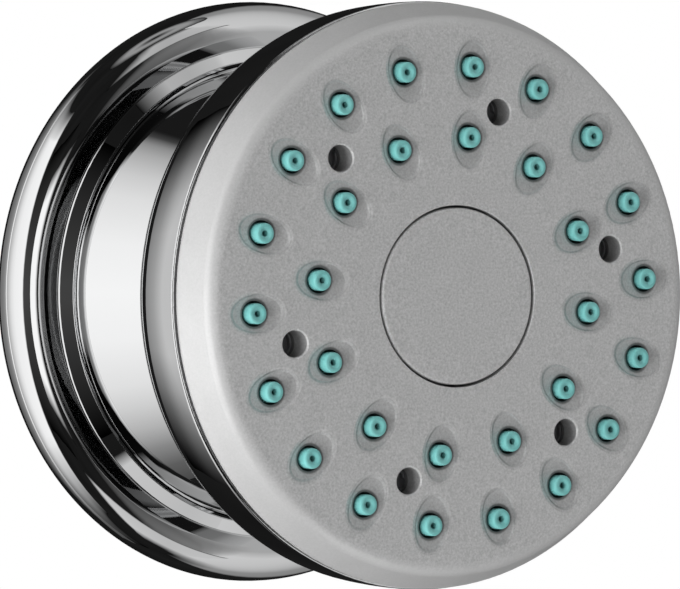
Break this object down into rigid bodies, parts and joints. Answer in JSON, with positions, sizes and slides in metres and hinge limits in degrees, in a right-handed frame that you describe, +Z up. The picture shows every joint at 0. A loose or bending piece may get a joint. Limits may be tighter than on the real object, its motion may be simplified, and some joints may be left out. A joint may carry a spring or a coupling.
{
  "type": "shower body jet",
  "caption": "Wall shower body jet: chrome escutcheon and neck, round head on a ball joint, domed satin face with soft teal nozzles in dimples, flush push button for the stop valve.",
  "frame": {"origin": "middle of the wall plane, on the axis of the inlet thread", "axes": "+Z up, the jet points to -Y, +Y into the wall, +X to the right seen from the front"},
  "size_m": [0.1008, 0.0881, 0.1008],
  "materials": {
    "chrome": "polished",
    "satin_chrome": "satin",
    "teal_silicone": "soft semi matt",
    "brass": "machined",
    "stainless": "bright",
    "grey_plastic": "moulded",
    "white_plastic": "moulded",
    "black_rubber": "matt"
  },
  "bodies": {
    "wall_side": {"wall_nipple": "brass", "inlet_strainer": "stainless", "flow_limiter": "white_plastic", "limiter_seal": "black_rubber", "ball_stem": "brass", "tail_seal": "black_rubber", "wall_gasket": "black_rubber", "escutcheon": "chrome", "neck_sleeve": "chrome", "lock_washer": "stainless", "lock_nut": "brass"},
    "liner": {"ball_liner": "white_plastic"},
    "seat": {"seat_ring": "white_plastic", "ball_seal": "black_rubber"},
    "head": {"head_shell": "chrome", "water_chamber": "grey_plastic", "retaining_nut": "brass", "jet_plate": "grey_plastic", "nozzle_mat": "teal_silicone", "face_plate": "satin_chrome", "stem_gland": "brass", "stem_seal": "black_rubber", "return_spring": "stainless"},
    "button": {"push_button": "satin_chrome", "valve_stem": "stainless", "valve_disc": "black_rubber", "latch_rotor": "white_plastic"}
  },
  "joints": [
    {"name": "head_tilt", "type": "hinge", "parent": "wall_side", "child": "liner", "pos_m": [0, -0.03805, 0], "axis": [1, 0, 0], "range_deg": [-8, 8]},
    {"name": "head_pan", "type": "hinge", "parent": "liner", "child": "seat", "pos_m": [0, -0.03805, 0], "axis": [0, 0, 1], "range_deg": [-8, 8]},
    {"name": "head_turn", "type": "hinge", "parent": "seat", "child": "head", "pos_m": [0, -0.03805, 0], "axis": [0, -1, 0], "continuous": true},
    {"name": "button_press", "type": "slide", "parent": "head", "child": "button", "axis": [0, 1, 0], "range_m": [0, 0.0025], "stiffness_N_per_m": 1000, "springref_m": -0.004, "deforming": ["return_spring"]}
  ]
}
